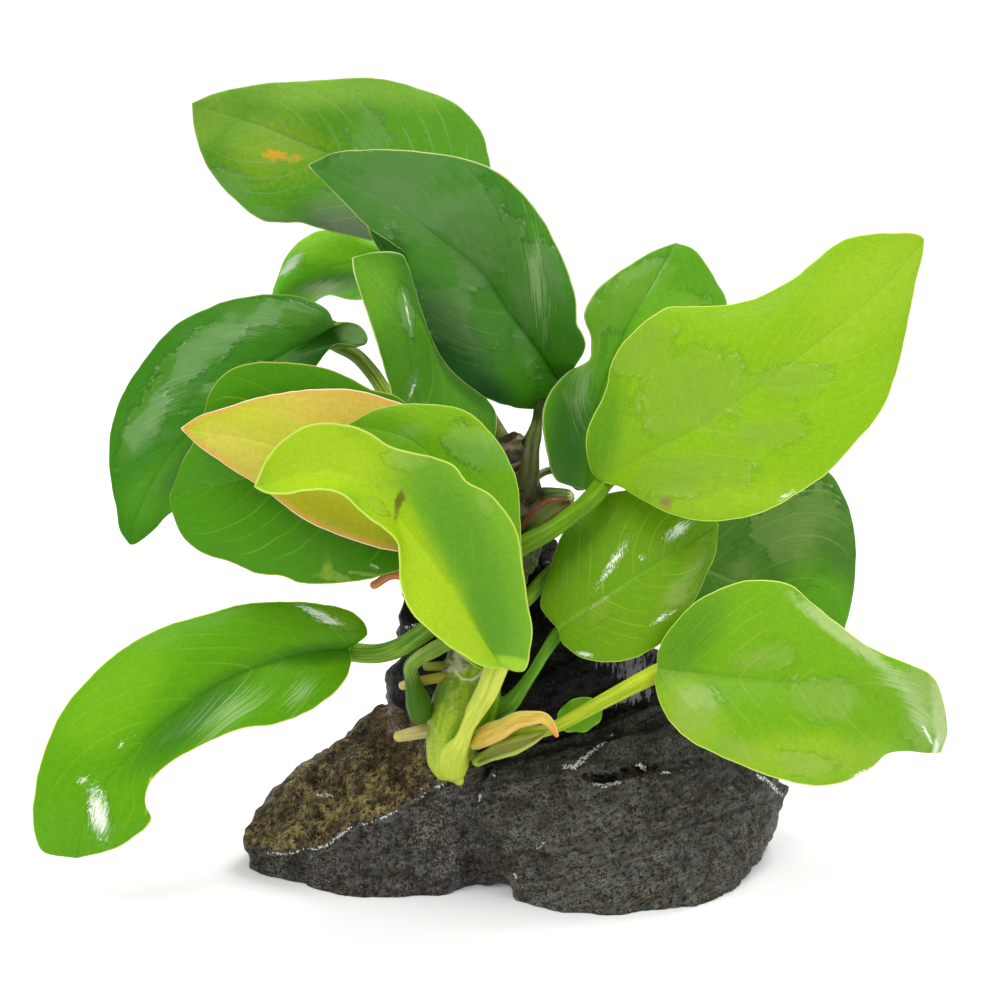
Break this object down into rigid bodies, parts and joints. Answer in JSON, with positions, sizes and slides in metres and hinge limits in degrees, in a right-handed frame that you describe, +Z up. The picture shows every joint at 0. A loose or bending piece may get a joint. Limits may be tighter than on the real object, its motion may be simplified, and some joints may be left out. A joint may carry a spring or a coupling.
{
  "type": "anubias plant on stone",
  "caption": "Broad-leaved aquarium plant whose creeping stem grips a dark stone, with stalked glossy leaves fanning out; stands on the stone's flat underside.",
  "frame": {"origin": "on the floor, under the stone, in the middle of its flat underside just behind its front notch", "axes": "+Z up, +X to the viewer's right along the widest spread of leaves, +Y away from the viewer"},
  "size_m": [0.1772, 0.0984, 0.153],
  "materials": {
    "wet_stone": "dark fine-grained natural stone, wet",
    "rhizome": "living green stem with brown leaf scars, wet",
    "leaf_back_top": "living green leaf with a thin pale margin, wet",
    "stalk_back_top": "living leaf stalk, wet",
    "leaf_top": "living green leaf with a thin pale margin, wet",
    "stalk_top": "living leaf stalk, wet",
    "leaf_back_small": "living green leaf with a thin pale margin, wet",
    "stalk_back_small": "living leaf stalk, wet",
    "leaf_left_high": "living green leaf with a thin pale margin, wet",
    "stalk_left_high": "living leaf stalk, wet",
    "leaf_hidden": "living green leaf with a thin pale margin, wet",
    "stalk_hidden": "living leaf stalk, wet",
    "leaf_upright": "living green leaf with a thin pale margin, wet",
    "stalk_upright": "living leaf stalk, wet",
    "leaf_left_broad": "living green leaf with a thin pale margin, wet",
    "stalk_left_broad": "living leaf stalk, wet",
    "leaf_yellow": "yellowing living leaf with an orange margin, wet",
    "stalk_yellow": "living leaf stalk, wet",
    "leaf_front_inner": "living green leaf with a thin pale margin, wet",
    "stalk_front_inner": "living leaf stalk, wet",
    "leaf_front_twisted": "living green leaf with a thin pale margin, wet",
    "stalk_front_twisted": "living leaf stalk, wet",
    "leaf_right_high": "living green leaf with a thin pale margin, wet",
    "stalk_right_high": "living leaf stalk, wet",
    "leaf_right_large": "living green leaf with a thin pale margin, wet",
    "stalk_right_large": "living leaf stalk, wet",
    "leaf_right_middle": "living green leaf with a thin pale margin, wet",
    "stalk_right_middle": "living leaf stalk, wet",
    "leaf_right_back": "living green leaf with a thin pale margin, wet",
    "stalk_right_back": "living leaf stalk, wet",
    "leaf_right_low": "living green leaf with a thin pale margin, wet",
    "stalk_right_low": "living leaf stalk, wet",
    "leaf_small": "living green leaf with a thin pale margin, wet",
    "stalk_small": "living leaf stalk, wet",
    "leaf_left_low": "living green leaf with a thin pale margin, wet",
    "stalk_left_low": "living leaf stalk, wet",
    "curled_stalk": "soft young plant tissue, satin",
    "withered_stalk": "withering plant tissue, satin",
    "old_sheath": "withering plant tissue, satin",
    "cut_stalk": "soft young plant tissue, satin",
    "young_leaf": "soft young plant tissue, satin",
    "leaf_sheath": "soft young plant tissue, satin",
    "root_low": "pale living root, satin",
    "root_middle": "pale living root, satin",
    "root_high": "pale living root, satin"
  },
  "bodies": {
    "root": {"stone": "wet_stone", "rhizome": "rhizome", "leaf_back_top": "leaf_back_top", "stalk_back_top": "stalk_back_top", "leaf_top": "leaf_top", "stalk_top": "stalk_top", "leaf_back_small": "leaf_back_small", "stalk_back_small": "stalk_back_small", "leaf_left_high": "leaf_left_high", "stalk_left_high": "stalk_left_high", "leaf_hidden": "leaf_hidden", "stalk_hidden": "stalk_hidden", "leaf_upright": "leaf_upright", "stalk_upright": "stalk_upright", "leaf_left_broad": "leaf_left_broad", "stalk_left_broad": "stalk_left_broad", "leaf_yellow": "leaf_yellow", "stalk_yellow": "stalk_yellow", "leaf_front_inner": "leaf_front_inner", "stalk_front_inner": "stalk_front_inner", "leaf_front_twisted": "leaf_front_twisted", "stalk_front_twisted": "stalk_front_twisted", "leaf_right_high": "leaf_right_high", "stalk_right_high": "stalk_right_high", "leaf_right_large": "leaf_right_large", "stalk_right_large": "stalk_right_large", "leaf_right_middle": "leaf_right_middle", "stalk_right_middle": "stalk_right_middle", "leaf_right_back": "leaf_right_back", "stalk_right_back": "stalk_right_back", "leaf_right_low": "leaf_right_low", "stalk_right_low": "stalk_right_low", "leaf_small": "leaf_small", "stalk_small": "stalk_small", "leaf_left_low": "leaf_left_low", "stalk_left_low": "stalk_left_low", "curled_stalk": "curled_stalk", "withered_stalk": "withered_stalk", "old_sheath": "old_sheath", "cut_stalk": "cut_stalk", "young_leaf": "young_leaf", "leaf_sheath": "leaf_sheath", "root_low": "root_low", "root_middle": "root_middle", "root_high": "root_high"}
  },
  "joints": []
}
